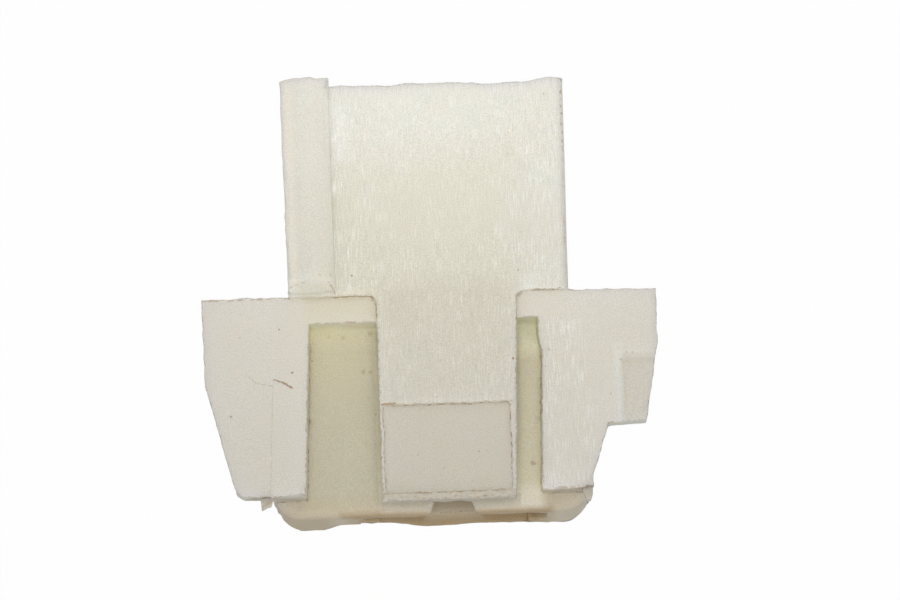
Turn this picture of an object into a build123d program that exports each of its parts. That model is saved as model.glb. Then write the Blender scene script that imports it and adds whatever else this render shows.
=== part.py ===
from build123d import *

import os
from math import radians, tan

# Push-on connector housing with one way, moulded as one piece of natural nylon.
# It lies on its back: +X runs across the flange, +Y points to the wire end, and +Z is the
# front, which carries the latch arm. The origin is on the back face, in the middle of the
# outline. All sizes are in millimetres, and angles in degrees.

# Lengths along Y
block_length = 9.15  # flange shoulder to the wire end
shroud_length = 8.57  # flange shoulder to the open end of the shroud
nose_reach = 0.78  # nose past the open end of the shroud
arm_overhang = 0.33  # tip of the latch arm past the open end of the shroud
bridge_length = 1.15  # flange shoulder to the root of the latch arm

# Heights along Z, from the back face up
back_wall = 1.0
cavity_height = 4.4
nose_wall = 1.0  # between the terminal cavity and the latch gap
latch_gap = 1.0  # room for the arm to bend
arm_thickness = 1.4
face_step = 0.25  # main face above the flange's face

# Wire-end block
block_width = 12.05  # at the flange shoulder
block_draft = 0.5
block_corner = 0.35
chamber_wall = 1.3  # its front wall; it is as wide as the cavity behind the stop rim
chamber_corner = 0.5
chamber_depth = 7.6  # wire end to the start of the funnel
funnel_length = 1.3
entry_flare = 0.35

# Keying rail on the block's front, along its left edge
rail_width = 2.0  # at the flange shoulder; its inner side runs straight along Y
rail_flank = 0.25  # height of its sides above the main face
rail_crown = 0.22  # rise of its round top above the sides
rail_overhang = 0.35  # past the wire end
rail_foot_gap = 0.15  # from the flange shoulder to its foot
rail_foot_slope = 0.55  # length over which it rises from its foot
rail_foot_flank = 0.04
rail_foot_crown = 0.06

# Nose and terminal cavity
nose_width = 13.84
nose_offset = -0.12  # it stands a little to the left of the flange's middle
nose_left_corner = 1.2
nose_right_corner = 1.25
nose_edge = 0.35
terminal_offset = 0.75  # cavity and latch arm stand to the right of the middle
mouth_width = 8.2
mouth_corner = 0.8
mouth_chamfer = 0.5  # lead-in on the back wall
stop_depth = 0.8  # rim that stops the terminal
stop_lip = 0.3
relief_width = 1.5  # slot over the terminal's locking lance
relief_entry = 0.26  # wider by this on each side at the mouth
relief_entry_length = 0.75
relief_length = 6.2
relief_flare = 0.3

# Latch arm and the slots beside it
arm_width = 6.0  # at its root
arm_taper = 0.28  # lost on the right by the tip
arm_root_round = 0.45
arm_corner = 0.4  # inner corners where the main face narrows to the arm
left_slot = 2.95  # width at the root
left_slot_flare = 0.35
right_slot = 0.9
right_slot_jog = 0.14
right_slot_jog_start = 0.8  # from the slot's end
right_slot_jog_length = 0.65
right_slot_return = 0.2  # drawn back in by the open end
pocket_depth = 0.2  # catch pocket in the arm's tip
pocket_length = 3.8
pocket_rim = 0.13
pocket_tip_rim = 0.3
pocket_corner = 0.15

# Flange wings
flange_reach = 9.8  # from the middle to each outer edge, at the shoulder
flange_thickness = 1.5
left_straight = 3.72  # outer edge before it tapers
left_draw = 0.08  # by which the outer edge draws in before it tapers
left_tip_reach = 8.48  # at the open end
left_tip_corner = 0.45
ear_straight = 2.5
ear_draw = 0.04
ear_length = 5.84  # flange shoulder to the ear's end, at its root
ear_rise = 0.08  # by which its end is shorter at the tip
ear_tip_reach = 9.18
ear_root_reach = 7.55
right_tip_reach = 6.62
ear_recess_depth = 0.18  # lead-in step on the ear's lower half
ear_recess_slope = 0.35  # width of the slope down to it
ear_recess_margin = 0.3  # recess starts this far outside the ear's root
ear_recess_length = 3.0

# Places worked out from the sizes
overall_length = nose_reach + shroud_length + block_length + rail_overhang
mating_end = -overall_length / 2
shroud_end = mating_end + nose_reach
shoulder = shroud_end + shroud_length
wire_end = shoulder + block_length
slot_end = shoulder - bridge_length
arm_tip = shroud_end - arm_overhang

cavity_roof = back_wall + cavity_height
nose_face = cavity_roof + nose_wall
arm_underside = nose_face + latch_gap
main_face = arm_underside + arm_thickness
flange_face = main_face - face_step

arm_left = terminal_offset - arm_width / 2
arm_right = terminal_offset + arm_width / 2
arm_tip_right = arm_right - arm_taper
left_slot_wall = arm_left - left_slot
right_slot_wall = arm_right + right_slot

rail_base = main_face - block_corner
rail_foot = shoulder + rail_foot_gap
chamber_height = main_face - back_wall - chamber_wall
chamber_centre = (terminal_offset, back_wall + chamber_height / 2)
cavity_width = mouth_width + 2 * stop_lip
funnel_start = wire_end - chamber_depth
funnel_end = funnel_start - funnel_length


def section(y):
    """Plane across the housing at y: its own x is X, its own y is Z, and it faces -Y."""
    return Plane.XZ.offset(-y)


def block_half_width(y):
    """Half the width of the drafted wire-end block at y."""
    return block_width / 2 + (y - shoulder) * tan(radians(block_draft))


def block_height(y):
    """Height of the drafted wire-end block at y."""
    return main_face + (y - shoulder) * tan(radians(block_draft))


with BuildPart() as housing:
    # Nose: holds the terminal, with round corners in plan
    with BuildSketch(Plane.XY) as nose_plan:
        with Locations((nose_offset, (mating_end + shoulder) / 2)):
            Rectangle(nose_width, shoulder - mating_end)
        fillet(nose_plan.vertices().group_by(Axis.Y)[0].sort_by(Axis.X)[-1], nose_right_corner)
        fillet(nose_plan.vertices().group_by(Axis.Y)[0].sort_by(Axis.X)[0], nose_left_corner)
    extrude(amount=nose_face)
    nose_front = housing.faces().sort_by(Axis.Z)[-1]
    fillet(nose_front.edges().sort_by(Axis.Y)[0:3], nose_edge)

    # Shroud walls, up to the flange's face
    with BuildSketch(Plane.XY) as shroud_plan:
        with Locations((nose_offset, (shroud_end + shoulder) / 2)):
            Rectangle(nose_width, shroud_length)
    extrude(amount=flange_face)

    # Flange plate with the tapered left wing and the eared right wing
    with BuildSketch(Plane.XY.offset(flange_face - flange_thickness)) as flange_plan:
        with BuildLine():
            Polyline(
                (-flange_reach, shoulder),
                (left_draw - flange_reach, shoulder - left_straight),
                (-left_tip_reach, shroud_end),
                (right_tip_reach, shroud_end),
                (ear_root_reach, shoulder - ear_length),
                (ear_tip_reach, shoulder - ear_length + ear_rise),
                (flange_reach - ear_draw, shoulder - ear_straight),
                (flange_reach, shoulder),
                close=True,
            )
        make_face()
        fillet(flange_plan.vertices().group_by(Axis.Y)[0].sort_by(Axis.X)[0], left_tip_corner)
    extrude(amount=flange_thickness)

    # Lead-in step on the ear, with a slope down to it on its inner and upper sides
    recess_left = ear_root_reach + ear_recess_margin
    recess_top = shoulder - ear_length + ear_recess_length
    for inset, z in ((ear_recess_slope, flange_face - ear_recess_depth), (0, flange_face)):
        with BuildSketch(Plane.XY.offset(z)):
            with BuildLine():
                Polyline(
                    (recess_left + inset, recess_top - inset),
                    (flange_reach, recess_top - inset),
                    (flange_reach, shroud_end),
                    (recess_left + inset, shroud_end),
                    close=True,
                )
            make_face()
    loft(mode=Mode.SUBTRACT)

    # Wire-end block, drafted so that it grows towards the wire end
    with BuildSketch(section(shoulder)):
        with Locations((0, main_face / 2)):
            RectangleRounded(block_width, main_face, block_corner)
    with BuildSketch(section(wire_end)):
        with Locations((0, block_height(wire_end) / 2)):
            RectangleRounded(
                2 * block_half_width(wire_end), block_height(wire_end), block_corner
            )
    loft()

    # Keying rail: upright sides and a round crown, with the block's draft and a sloping foot
    rail_stations = (
        (rail_foot, rail_foot_flank, rail_foot_crown),
        (rail_foot + rail_foot_slope, rail_flank, rail_crown),
        (wire_end + rail_overhang, rail_flank, rail_crown),
    )
    rail_right = rail_width - block_width / 2
    for y, flank, crown in rail_stations:
        rail_left = -block_half_width(y)
        side_top = block_height(y) + flank
        with BuildSketch(section(y)):
            with BuildLine():
                Line((rail_left, rail_base), (rail_left, side_top))
                ThreePointArc(
                    (rail_left, side_top),
                    ((rail_left + rail_right) / 2, side_top + crown),
                    (rail_right, side_top),
                )
                Line((rail_right, side_top), (rail_right, rail_base))
                Line((rail_right, rail_base), (rail_left, rail_base))
            make_face()
    loft(ruled=True)

    # Main face carried on as the latch arm, with filleted inner corners
    with BuildSketch(Plane.XY.offset(arm_underside)) as arm_plan:
        with BuildLine():
            Polyline(
                (arm_left - 2 * arm_corner, shoulder + arm_corner),
                (arm_left - 2 * arm_corner, shoulder),
                (arm_left, shoulder),
                (arm_left, arm_tip),
                (arm_tip_right, arm_tip),
                (arm_right, slot_end),
                (arm_right, shoulder),
                (arm_right + 2 * arm_corner, shoulder),
                (arm_right + 2 * arm_corner, shoulder + arm_corner),
                close=True,
            )
        make_face()
        shoulder_points = arm_plan.vertices().filter_by_position(Axis.Y, shoulder, shoulder)
        fillet(shoulder_points.sort_by(Axis.X)[1:3], arm_corner)
    extrude(amount=arm_thickness)

    # Slots that free the arm, open at the mating end
    slot_open_end = mating_end - nose_reach
    with BuildSketch(Plane.XY.offset(nose_face)) as left_slot_plan:
        with BuildLine():
            Polyline(
                (arm_left, slot_end),
                (left_slot_wall, slot_end),
                (left_slot_wall - left_slot_flare, shroud_end),
                (left_slot_wall - left_slot_flare, slot_open_end),
                (arm_left, slot_open_end),
                close=True,
            )
        make_face()
    extrude(amount=main_face - nose_face, mode=Mode.SUBTRACT)

    jog_start = slot_end - right_slot_jog_start
    jog_end = jog_start - right_slot_jog_length
    jog_wall = right_slot_wall + right_slot_jog
    with BuildSketch(Plane.XY.offset(nose_face)) as right_slot_plan:
        with BuildLine():
            Polyline(
                (arm_right, slot_end),
                (right_slot_wall, slot_end),
                (right_slot_wall, jog_start),
                (jog_wall, jog_end),
                (jog_wall - right_slot_return, shroud_end),
                (jog_wall - right_slot_return, slot_open_end),
                (arm_tip_right, slot_open_end),
                (arm_tip_right, arm_tip),
                close=True,
            )
        make_face()
    extrude(amount=main_face - nose_face, mode=Mode.SUBTRACT)

    # Round roots of both slots, in line with the root of the gap under the arm
    with BuildSketch(Plane.YZ.offset(left_slot_wall - left_slot_flare)):
        with BuildLine():
            Polyline(
                (slot_end - arm_root_round, nose_face),
                (slot_end, nose_face),
                (slot_end, nose_face + arm_root_round),
            )
            CenterArc(
                (slot_end - arm_root_round, nose_face + arm_root_round), arm_root_round, -90, 90
            )
        make_face()
    extrude(amount=jog_wall - left_slot_wall + left_slot_flare)

    # Gap under the arm, with a round end at its root
    gap_left = arm_left - left_slot / 2
    gap_right = arm_right + right_slot / 2
    with BuildSketch(Plane.YZ.offset(gap_left)) as gap_profile:
        with Locations(((slot_open_end + slot_end) / 2, nose_face + latch_gap / 2)):
            Rectangle(slot_end - slot_open_end, latch_gap)
        fillet(gap_profile.vertices().group_by(Axis.X)[-1], arm_root_round)
    extrude(amount=gap_right - gap_left, mode=Mode.SUBTRACT)

    # Catch pocket in the front of the arm's tip
    pocket_left = arm_left + pocket_rim
    pocket_right = arm_tip_right - pocket_rim
    pocket_bottom = arm_tip + pocket_tip_rim
    with BuildSketch(Plane.XY.offset(main_face - pocket_depth)) as pocket_plan:
        with Locations(((pocket_left + pocket_right) / 2, pocket_bottom + pocket_length / 2)):
            RectangleRounded(pocket_right - pocket_left, pocket_length, pocket_corner)
    extrude(amount=pocket_depth, mode=Mode.SUBTRACT)

    # Terminal cavity: mouth, room behind the stop rim, funnel and wire chamber
    mouth_centre = (terminal_offset, back_wall + cavity_height / 2)
    stop_end = mating_end + stop_depth
    with BuildSketch(section(mating_end)):
        with Locations(mouth_centre):
            RectangleRounded(mouth_width, cavity_height, mouth_corner)
    extrude(amount=-stop_depth, mode=Mode.SUBTRACT)
    with BuildSketch(section(stop_end)):
        with Locations(mouth_centre):
            RectangleRounded(cavity_width, cavity_height, mouth_corner)
    extrude(amount=stop_end - funnel_end, mode=Mode.SUBTRACT)
    with BuildSketch(section(funnel_end)):
        with Locations(mouth_centre):
            RectangleRounded(cavity_width, cavity_height, mouth_corner)
    with BuildSketch(section(funnel_start)):
        with Locations(chamber_centre):
            RectangleRounded(cavity_width, chamber_height, chamber_corner)
    loft(mode=Mode.SUBTRACT)
    with BuildSketch(section(funnel_start)):
        with Locations(chamber_centre):
            RectangleRounded(cavity_width, chamber_height, chamber_corner)
    extrude(amount=-chamber_depth, mode=Mode.SUBTRACT)
    with BuildSketch(section(wire_end - entry_flare)):
        with Locations(chamber_centre):
            RectangleRounded(cavity_width, chamber_height, chamber_corner)
    with BuildSketch(section(wire_end)):
        with Locations(chamber_centre):
            RectangleRounded(
                cavity_width + 2 * entry_flare, chamber_height + 2 * entry_flare, chamber_corner
            )
    loft(mode=Mode.SUBTRACT)

    # Lead-in chamfer on the back wall of the mouth
    with BuildSketch(Plane.YZ.offset(terminal_offset - mouth_width / 2 + mouth_corner)):
        with BuildLine():
            Polyline(
                (mating_end, back_wall - mouth_chamfer),
                (mating_end + mouth_chamfer, back_wall),
                (mating_end, back_wall),
                close=True,
            )
        make_face()
    extrude(amount=mouth_width - 2 * mouth_corner, mode=Mode.SUBTRACT)

    # Relief slot through the nose's front wall, over the terminal's locking lance
    relief_stations = (
        (mating_end, relief_width / 2 + relief_entry),
        (mating_end + relief_entry_length, relief_width / 2),
        (mating_end + relief_length, relief_width / 2),
    )
    for y, half_width in relief_stations:
        relief_left = terminal_offset - half_width
        relief_right = terminal_offset + half_width
        with BuildSketch(section(y)):
            with BuildLine():
                Polyline(
                    (relief_left - relief_flare, cavity_roof),
                    (relief_left, cavity_roof + relief_flare),
                    (relief_left, nose_face),
                    (relief_right, nose_face),
                    (relief_right, cavity_roof + relief_flare),
                    (relief_right + relief_flare, cavity_roof),
                    close=True,
                )
            make_face()
    loft(ruled=True, mode=Mode.SUBTRACT)

housing.part.label = "housing"

os.makedirs("parts", exist_ok=True)
export_step(housing.part, "parts/housing.step")
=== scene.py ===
from math import cos, radians, sin

import bmesh
import bpy
from mathutils import Matrix, Vector, noise


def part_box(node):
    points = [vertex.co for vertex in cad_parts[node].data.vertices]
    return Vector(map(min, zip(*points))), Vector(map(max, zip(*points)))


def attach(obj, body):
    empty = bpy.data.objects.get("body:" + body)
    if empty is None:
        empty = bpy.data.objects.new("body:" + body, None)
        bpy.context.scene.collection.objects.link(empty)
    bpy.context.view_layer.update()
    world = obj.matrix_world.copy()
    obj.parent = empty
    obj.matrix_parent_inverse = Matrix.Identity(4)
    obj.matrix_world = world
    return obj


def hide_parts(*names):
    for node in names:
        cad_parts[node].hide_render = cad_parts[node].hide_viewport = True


bl_info = {
    "name": "Connector Housing",
    "version": (1, 0, 0),
    "blender": (4, 5, 0),
    "location": "View3D > Sidebar > Connector",
    "description": "Dresses a push-on connector housing of natural nylon",
    "category": "Object",
}

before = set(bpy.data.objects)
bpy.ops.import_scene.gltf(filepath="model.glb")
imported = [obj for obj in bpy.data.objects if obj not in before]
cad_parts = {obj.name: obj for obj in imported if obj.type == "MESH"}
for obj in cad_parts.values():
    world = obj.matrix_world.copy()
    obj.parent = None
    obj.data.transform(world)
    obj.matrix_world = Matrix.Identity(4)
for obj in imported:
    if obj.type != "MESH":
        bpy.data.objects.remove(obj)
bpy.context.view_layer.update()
LOW, HIGH = (Vector(corner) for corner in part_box("housing"))

# Sizes of the housing in metres, measured from its open end, its middle and its back face
MM = 0.001
NOSE_REACH = 0.78 * MM
SHROUD_LENGTH = 8.57 * MM
BLOCK_LENGTH = 9.15 * MM
BRIDGE_LENGTH = 1.15 * MM
ARM_OVERHANG = 0.33 * MM
BACK_WALL = 1.0 * MM
CAVITY_ROOF = 5.4 * MM
NOSE_FACE = 6.4 * MM
MAIN_FACE = 8.8 * MM
FLANGE_FACE = 8.55 * MM
BLOCK_LEFT = -6.025 * MM
BLOCK_RIGHT = 6.025 * MM
RAIL_RIGHT = -4.025 * MM
ARM_LEFT = -2.25 * MM
ARM_RIGHT = 3.75 * MM
ARM_TIP_RIGHT = 3.47 * MM
LEFT_SLOT_WALL = -5.2 * MM
LEFT_SLOT_MOUTH = -5.55 * MM
RIGHT_SLOT_WALL = 4.65 * MM
RIGHT_SLOT_MOUTH = 4.6 * MM
MOUTH_LEFT = -3.35 * MM
MOUTH_RIGHT = 4.85 * MM
POCKET_DEPTH = 0.2 * MM
POCKET_START = 3.8 * MM
POCKET_RIM = 0.3 * MM
FLANGE_REACH = 9.8 * MM
LEFT_TIP_REACH = 8.48 * MM
RIGHT_TIP_REACH = 6.62 * MM

MATING_END = LOW.y
SHROUD_END = MATING_END + NOSE_REACH
SHOULDER = SHROUD_END + SHROUD_LENGTH
WIRE_END = SHOULDER + BLOCK_LENGTH
SLOT_END = SHOULDER - BRIDGE_LENGTH
ARM_TIP = SHROUD_END - ARM_OVERHANG
POCKET_TIP = ARM_TIP + POCKET_RIM
POCKET_ROOT = POCKET_TIP + POCKET_START

# Start of the noise, so that each run gives the same surface
NOISE_SEED = 4

# The wire end's front edge, the rail's end, the flange's shoulder, the wings' ends and the
# mouth's lip aren't straight: (across, along) in millimetres
WIRE_END_WAVE = (
    (-4.2, 0.0), (-2.6, -0.02), (-1.3, -0.07), (-0.7, -0.01), (1.2, 0.0), (2.9, -0.11),
    (4.4, -0.08), (5.5, 0.07), (6.1, 0.04))
RAIL_END_WAVE = ((-6.1, -0.1), (-5.8, -0.04), (-5.1, 0.0), (-4.4, -0.03), (-4.1, -0.05))
SHOULDER_WAVE = (
    (-9.8, 0.06), (-6.3, 0.06), (-5.6, 0.0), (5.6, 0.0), (6.3, -0.05), (9.8, -0.08))
WING_END_WAVE = (
    (-8.6, 0.2), (-8.2, 0.06), (-7.6, 0.0), (-7.0, 0.0), (-6.4, 0.06), (-5.5, 0.12),
    (-5.0, 0.0), (4.5, -0.08), (6.2, -0.05), (6.7, 0.03))
MOUTH_LIP_WAVE = (
    (-5.2, 0.0), (-3.9, 0.25), (-2.2, 0.24), (-0.4, 0.03), (0.5, 0.03), (1.8, 0.09),
    (3.8, 0.07), (5.0, 0.02))

# Slivers of flash: name, outline (across, along) in millimetres, lower and upper height
FLASH = (
    ("flash_left_wing",
     ((-7.52, -8.5), (-7.47, -8.86), (-7.45, -9.2), (-7.36, -9.17), (-7.2, -9.08),
      (-7.03, -9.04), (-6.99, -8.88), (-6.9, -8.5)),
     FLANGE_FACE - 0.3 * MM, FLANGE_FACE - 0.08 * MM),
    ("flash_right_wing",
     ((6.3, -8.45), (6.64, -8.45), (6.76, -8.7), (6.75, -8.98), (6.66, -9.22), (6.48, -9.14),
      (6.34, -8.85)),
     FLANGE_FACE - 0.9 * MM, FLANGE_FACE - 0.1 * MM),
)


def smooth(value, start, end):
    """0 before start, 1 after end, and a smooth step between them."""
    part = min(max((value - start) / (end - start), 0.0), 1.0)
    return part * part * (3 - 2 * part)


def wave_at(knots, across):
    """Height of a wave of smooth steps from knot to knot, all in millimetres."""
    if across <= knots[0][0]:
        return knots[0][1]
    for (x_a, y_a), (x_b, y_b) in zip(knots, knots[1:]):
        if across <= x_b:
            return y_a + (y_b - y_a) * smooth(across, x_a, x_b)
    return knots[-1][1]


class HousingSettings(bpy.types.PropertyGroup):
    """Sizes and colours of the moulded housing."""

    edge_radius: bpy.props.FloatProperty(
        name="Edge Radius", description="Radius of the moulded edges",
        default=0.045 * MM, unit="LENGTH", precision=5)
    grid_step: bpy.props.FloatProperty(
        name="Grid Step", description="Largest side of a face of the moulded surface",
        default=0.27 * MM, unit="LENGTH", precision=5)
    face_wave: bpy.props.FloatProperty(
        name="Face Wave", description="Depth of the sinks and waves in the faces",
        default=0.012 * MM, unit="LENGTH", precision=5)
    edge_wave: bpy.props.FloatProperty(
        name="Edge Wave", description="How far worn edges stray from their line",
        default=0.06 * MM, unit="LENGTH", precision=5)
    flash_wave: bpy.props.FloatProperty(
        name="Flash Wave", description="Height of the ragged flash on the latch arm's tip",
        default=0.065 * MM, unit="LENGTH", precision=5)
    resin: bpy.props.FloatVectorProperty(
        name="Resin", description="Colour of the natural nylon",
        subtype="COLOR", size=3, default=(0.77, 0.755, 0.672), min=0, max=1)
    thick_resin: bpy.props.FloatVectorProperty(
        name="Thick Resin", description="Colour of the nylon where it is thick or enclosed",
        subtype="COLOR", size=3, default=(0.72, 0.67, 0.48), min=0, max=1)
    # Painted shade: darker colour on the latch arm, its pad, the rail's flank and the ear, where
    # less light falls
    painted_shade: bpy.props.FloatVectorProperty(
        name="Shaded Resin", description="Colour of the nylon on the latch arm and in the pad",
        subtype="COLOR", size=3, default=(0.66, 0.62, 0.53), min=0, max=1)
    # Painted shade: darker colour on the floors of the slots, which lie deep
    painted_slot_shade: bpy.props.FloatVectorProperty(
        name="Slot Resin", description="Colour of the nylon on the floors of the slots",
        subtype="COLOR", size=3, default=(0.675, 0.64, 0.50), min=0, max=1)
    # Painted light: brighter colour at the slots' roots and beside the latch arm, where they lie in
    # shade
    painted_root_light: bpy.props.FloatVectorProperty(
        name="Root Resin", description="Colour of the nylon at the roots of the slots",
        subtype="COLOR", size=3, default=(0.97, 0.935, 0.73), min=0, max=1)
    wing_resin: bpy.props.FloatVectorProperty(
        name="Wing Resin", description="Colour of the nylon on the flange",
        subtype="COLOR", size=3, default=(0.785, 0.752, 0.685), min=0, max=1)
    # Painted shade: darker colour on the thin nylon round the mouth, at the bottom of the part
    painted_nose_shade: bpy.props.FloatVectorProperty(
        name="Nose Resin", description="Colour of the thin nylon round the mouth",
        subtype="COLOR", size=3, default=(0.685, 0.605, 0.46), min=0, max=1)
    # Painted shade: darker colour on the end faces of the wings and of the latch arm, which face
    # away from the light
    painted_end_shade: bpy.props.FloatVectorProperty(
        name="End Resin", description="Colour of the nylon on the wings' and the latch arm's ends",
        subtype="COLOR", size=3, default=(0.55, 0.49, 0.39), min=0, max=1)
    # Painted shade: dark brown inside the cavity, its mouth and beside the nose's left end
    painted_cavity_shade: bpy.props.FloatVectorProperty(
        name="Deep Resin", description="Colour of the nylon inside the cavity",
        subtype="COLOR", size=3, default=(0.455, 0.32, 0.165), min=0, max=1)
    # Painted highlight: whiter colour towards the wire end, in glint patches, in dashes along the
    # streaks and on the ear's shaded lead-in
    painted_sheen: bpy.props.FloatVectorProperty(
        name="Scuffed", description="Colour of the nylon where it is scuffed white",
        subtype="COLOR", size=3, default=(0.90, 0.90, 0.86), min=0, max=1)
    # Painted light: brighter colour on the block's sides and under the latch arm's tip, where they
    # lie in shade
    painted_rim_light: bpy.props.FloatVectorProperty(
        name="Rim Resin", description="Colour of the nylon on the block's sides and under the arm",
        subtype="COLOR", size=3, default=(0.95, 0.90, 0.78), min=0, max=1)
    grime: bpy.props.FloatVectorProperty(
        name="Grime", description="Colour of the dirt along edges and in corners",
        subtype="COLOR", size=3, default=(0.36, 0.20, 0.085), min=0, max=1)
    streak_depth: bpy.props.FloatProperty(
        name="Streak Depth", description="Depth of the streaks that ejection leaves",
        default=0.006 * MM, unit="LENGTH", precision=6)


class StageSettings(bpy.types.PropertyGroup):
    """Floor, light and camera."""

    floor_colour: bpy.props.FloatVectorProperty(
        name="Floor Colour", description="Colour of the floor",
        subtype="COLOR", size=3, default=(0.86, 0.86, 0.86), min=0, max=1)
    key_power: bpy.props.FloatProperty(
        name="Key Power", description="Power of the soft lamp near the camera's line of sight",
        default=0.0027, unit="POWER", precision=3)
    sheen_power: bpy.props.FloatProperty(
        name="Sheen Power", description="Power of the small lamp over the wire end",
        default=0.00245, unit="POWER", precision=3)
    fill_power: bpy.props.FloatProperty(
        name="Fill Power", description="Power of the low lamp in front of the mouth",
        default=0.0018, unit="POWER", precision=3)
    sky_level: bpy.props.FloatProperty(
        name="Sky Level", description="Strength of the light from all round",
        default=0.39)
    sky_colour: bpy.props.FloatVectorProperty(
        name="Sky Colour", description="Tint of the light from all round",
        subtype="COLOR", size=3, default=(1, 0.985, 0.975), min=0, max=1)
    distance: bpy.props.FloatProperty(
        name="Distance", description="Camera to the middle of the main face",
        default=200 * MM, unit="LENGTH")
    elevation: bpy.props.FloatProperty(
        name="Elevation", description="Camera above the floor",
        default=radians(82.5), subtype="ANGLE")
    roll: bpy.props.FloatProperty(
        name="Roll", description="Turn of the camera about its own axis",
        default=radians(2.0), subtype="ANGLE")
    lens: bpy.props.FloatProperty(
        name="Lens", description="Focal length of the camera",
        default=186.05, unit="CAMERA")


# Node helpers

def place(tree, kind, inputs=None, **settings):
    """Adds one node. Each input is a value, or the socket that feeds it."""
    made = tree.nodes.new(kind)
    for name, value in settings.items():
        setattr(made, name, value)
    for key, value in (inputs or {}).items():
        if isinstance(value, bpy.types.NodeSocket):
            tree.links.new(value, made.inputs[key])
        else:
            made.inputs[key].default_value = value
    return made


def maths(tree, operation, first, second=0.0, clamp=False):
    """One sum on numbers."""
    made = place(tree, "ShaderNodeMath", {0: first, 1: second}, operation=operation)
    made.use_clamp = clamp
    return made.outputs[0]


def vectors(tree, operation, first, second=(0, 0, 0)):
    """One sum on vectors, as a vector."""
    made = place(tree, "ShaderNodeVectorMath", {0: first, 1: second}, operation=operation)
    return made.outputs[0]


def measure(tree, operation, first, second=(0, 0, 0)):
    """One sum on vectors that gives a number."""
    made = place(tree, "ShaderNodeVectorMath", {0: first, 1: second}, operation=operation)
    return made.outputs["Value"]


def span(tree, value, start, end, low=0.0, high=1.0):
    """Takes value from start..end to low..high by a smooth step."""
    made = place(
        tree, "ShaderNodeMapRange",
        {"Value": value, "From Min": start, "From Max": end, "To Min": low, "To Max": high},
        interpolation_type="SMOOTHSTEP",
    )
    return made.outputs["Result"]


def blend(tree, amount, below, above):
    """Mixes two colours."""
    made = place(tree, "ShaderNodeMix", {0: amount, 6: below, 7: above}, data_type="RGBA")
    return made.outputs[2]


def opaque(colour):
    """A colour property with its alpha."""
    return (*colour, 1.0)


def start_group(name, inputs, outputs):
    """A new shader node group with its sockets. Gives the tree, its inputs and its outputs."""
    tree = bpy.data.node_groups.new(name, "ShaderNodeTree")
    for label, kind, default in inputs:
        socket = tree.interface.new_socket(label, in_out="INPUT", socket_type=kind)
        socket.default_value = default
    for label, kind in outputs:
        tree.interface.new_socket(label, in_out="OUTPUT", socket_type=kind)
    entry = tree.nodes.new("NodeGroupInput")
    leave = tree.nodes.new("NodeGroupOutput")
    return tree, entry.outputs, leave.inputs


def object_point(tree):
    """The point on the surface, in metres in the housing's own frame."""
    return tree.nodes.new("ShaderNodeTexCoord").outputs["Object"]


# Node groups

def region_group():
    """Mask of a box with soft edges."""
    tree, given, result = start_group(
        "Region",
        (("Lowest", "NodeSocketVector", (0, 0, 0)), ("Highest", "NodeSocketVector", (0, 0, 0)),
         ("Softness", "NodeSocketFloat", 0.1 * MM)),
        (("Mask", "NodeSocketFloat"),))
    both = vectors(tree, "ADD", given["Lowest"], given["Highest"])
    middle = vectors(tree, "MULTIPLY", both, (0.5, 0.5, 0.5))
    reach = vectors(tree, "SUBTRACT", given["Highest"], middle)
    apart = vectors(tree, "ABSOLUTE", vectors(tree, "SUBTRACT", object_point(tree), middle))
    inside = place(tree, "ShaderNodeSeparateXYZ", {0: vectors(tree, "SUBTRACT", reach, apart)})
    least = maths(tree, "MINIMUM", inside.outputs[0], inside.outputs[1])
    least = maths(tree, "MINIMUM", least, inside.outputs[2])
    mask = maths(tree, "ADD", maths(tree, "DIVIDE", least, given["Softness"]), 0.5, clamp=True)
    tree.links.new(mask, result["Mask"])
    return tree


def streak_group():
    """Fine streaks along Y, as the mould's faces leave them when the part is pushed out."""
    tree, given, result = start_group(
        "Streaks",
        (("Across", "NodeSocketFloat", 9.0), ("Along", "NodeSocketFloat", 0.5),
         ("Seed", "NodeSocketFloat", 0.0)),
        (("Height", "NodeSocketFloat"), ("Patch", "NodeSocketFloat")))
    point = vectors(tree, "MULTIPLY", object_point(tree), (1 / MM, 1 / MM, 0.0))
    scale = place(tree, "ShaderNodeCombineXYZ", {0: given["Across"], 1: given["Along"], 2: 0.0})
    shift = place(tree, "ShaderNodeCombineXYZ", {2: given["Seed"]})
    drawn = vectors(tree, "MULTIPLY", point, scale.outputs[0])
    drawn = vectors(tree, "ADD", drawn, shift.outputs[0])
    streaks = place(tree, "ShaderNodeTexNoise", {"Vector": drawn, "Scale": 1.0, "Detail": 3.0})
    wide = vectors(tree, "MULTIPLY", point, (1.1, 0.45, 0.0))
    wide = vectors(tree, "ADD", wide, shift.outputs[0])
    patch = place(tree, "ShaderNodeTexNoise", {"Vector": wide, "Scale": 1.0, "Detail": 2.0})
    tree.links.new(streaks.outputs["Fac"], result["Height"])
    tree.links.new(span(tree, patch.outputs["Fac"], 0.38, 0.66), result["Patch"])
    return tree


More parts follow.
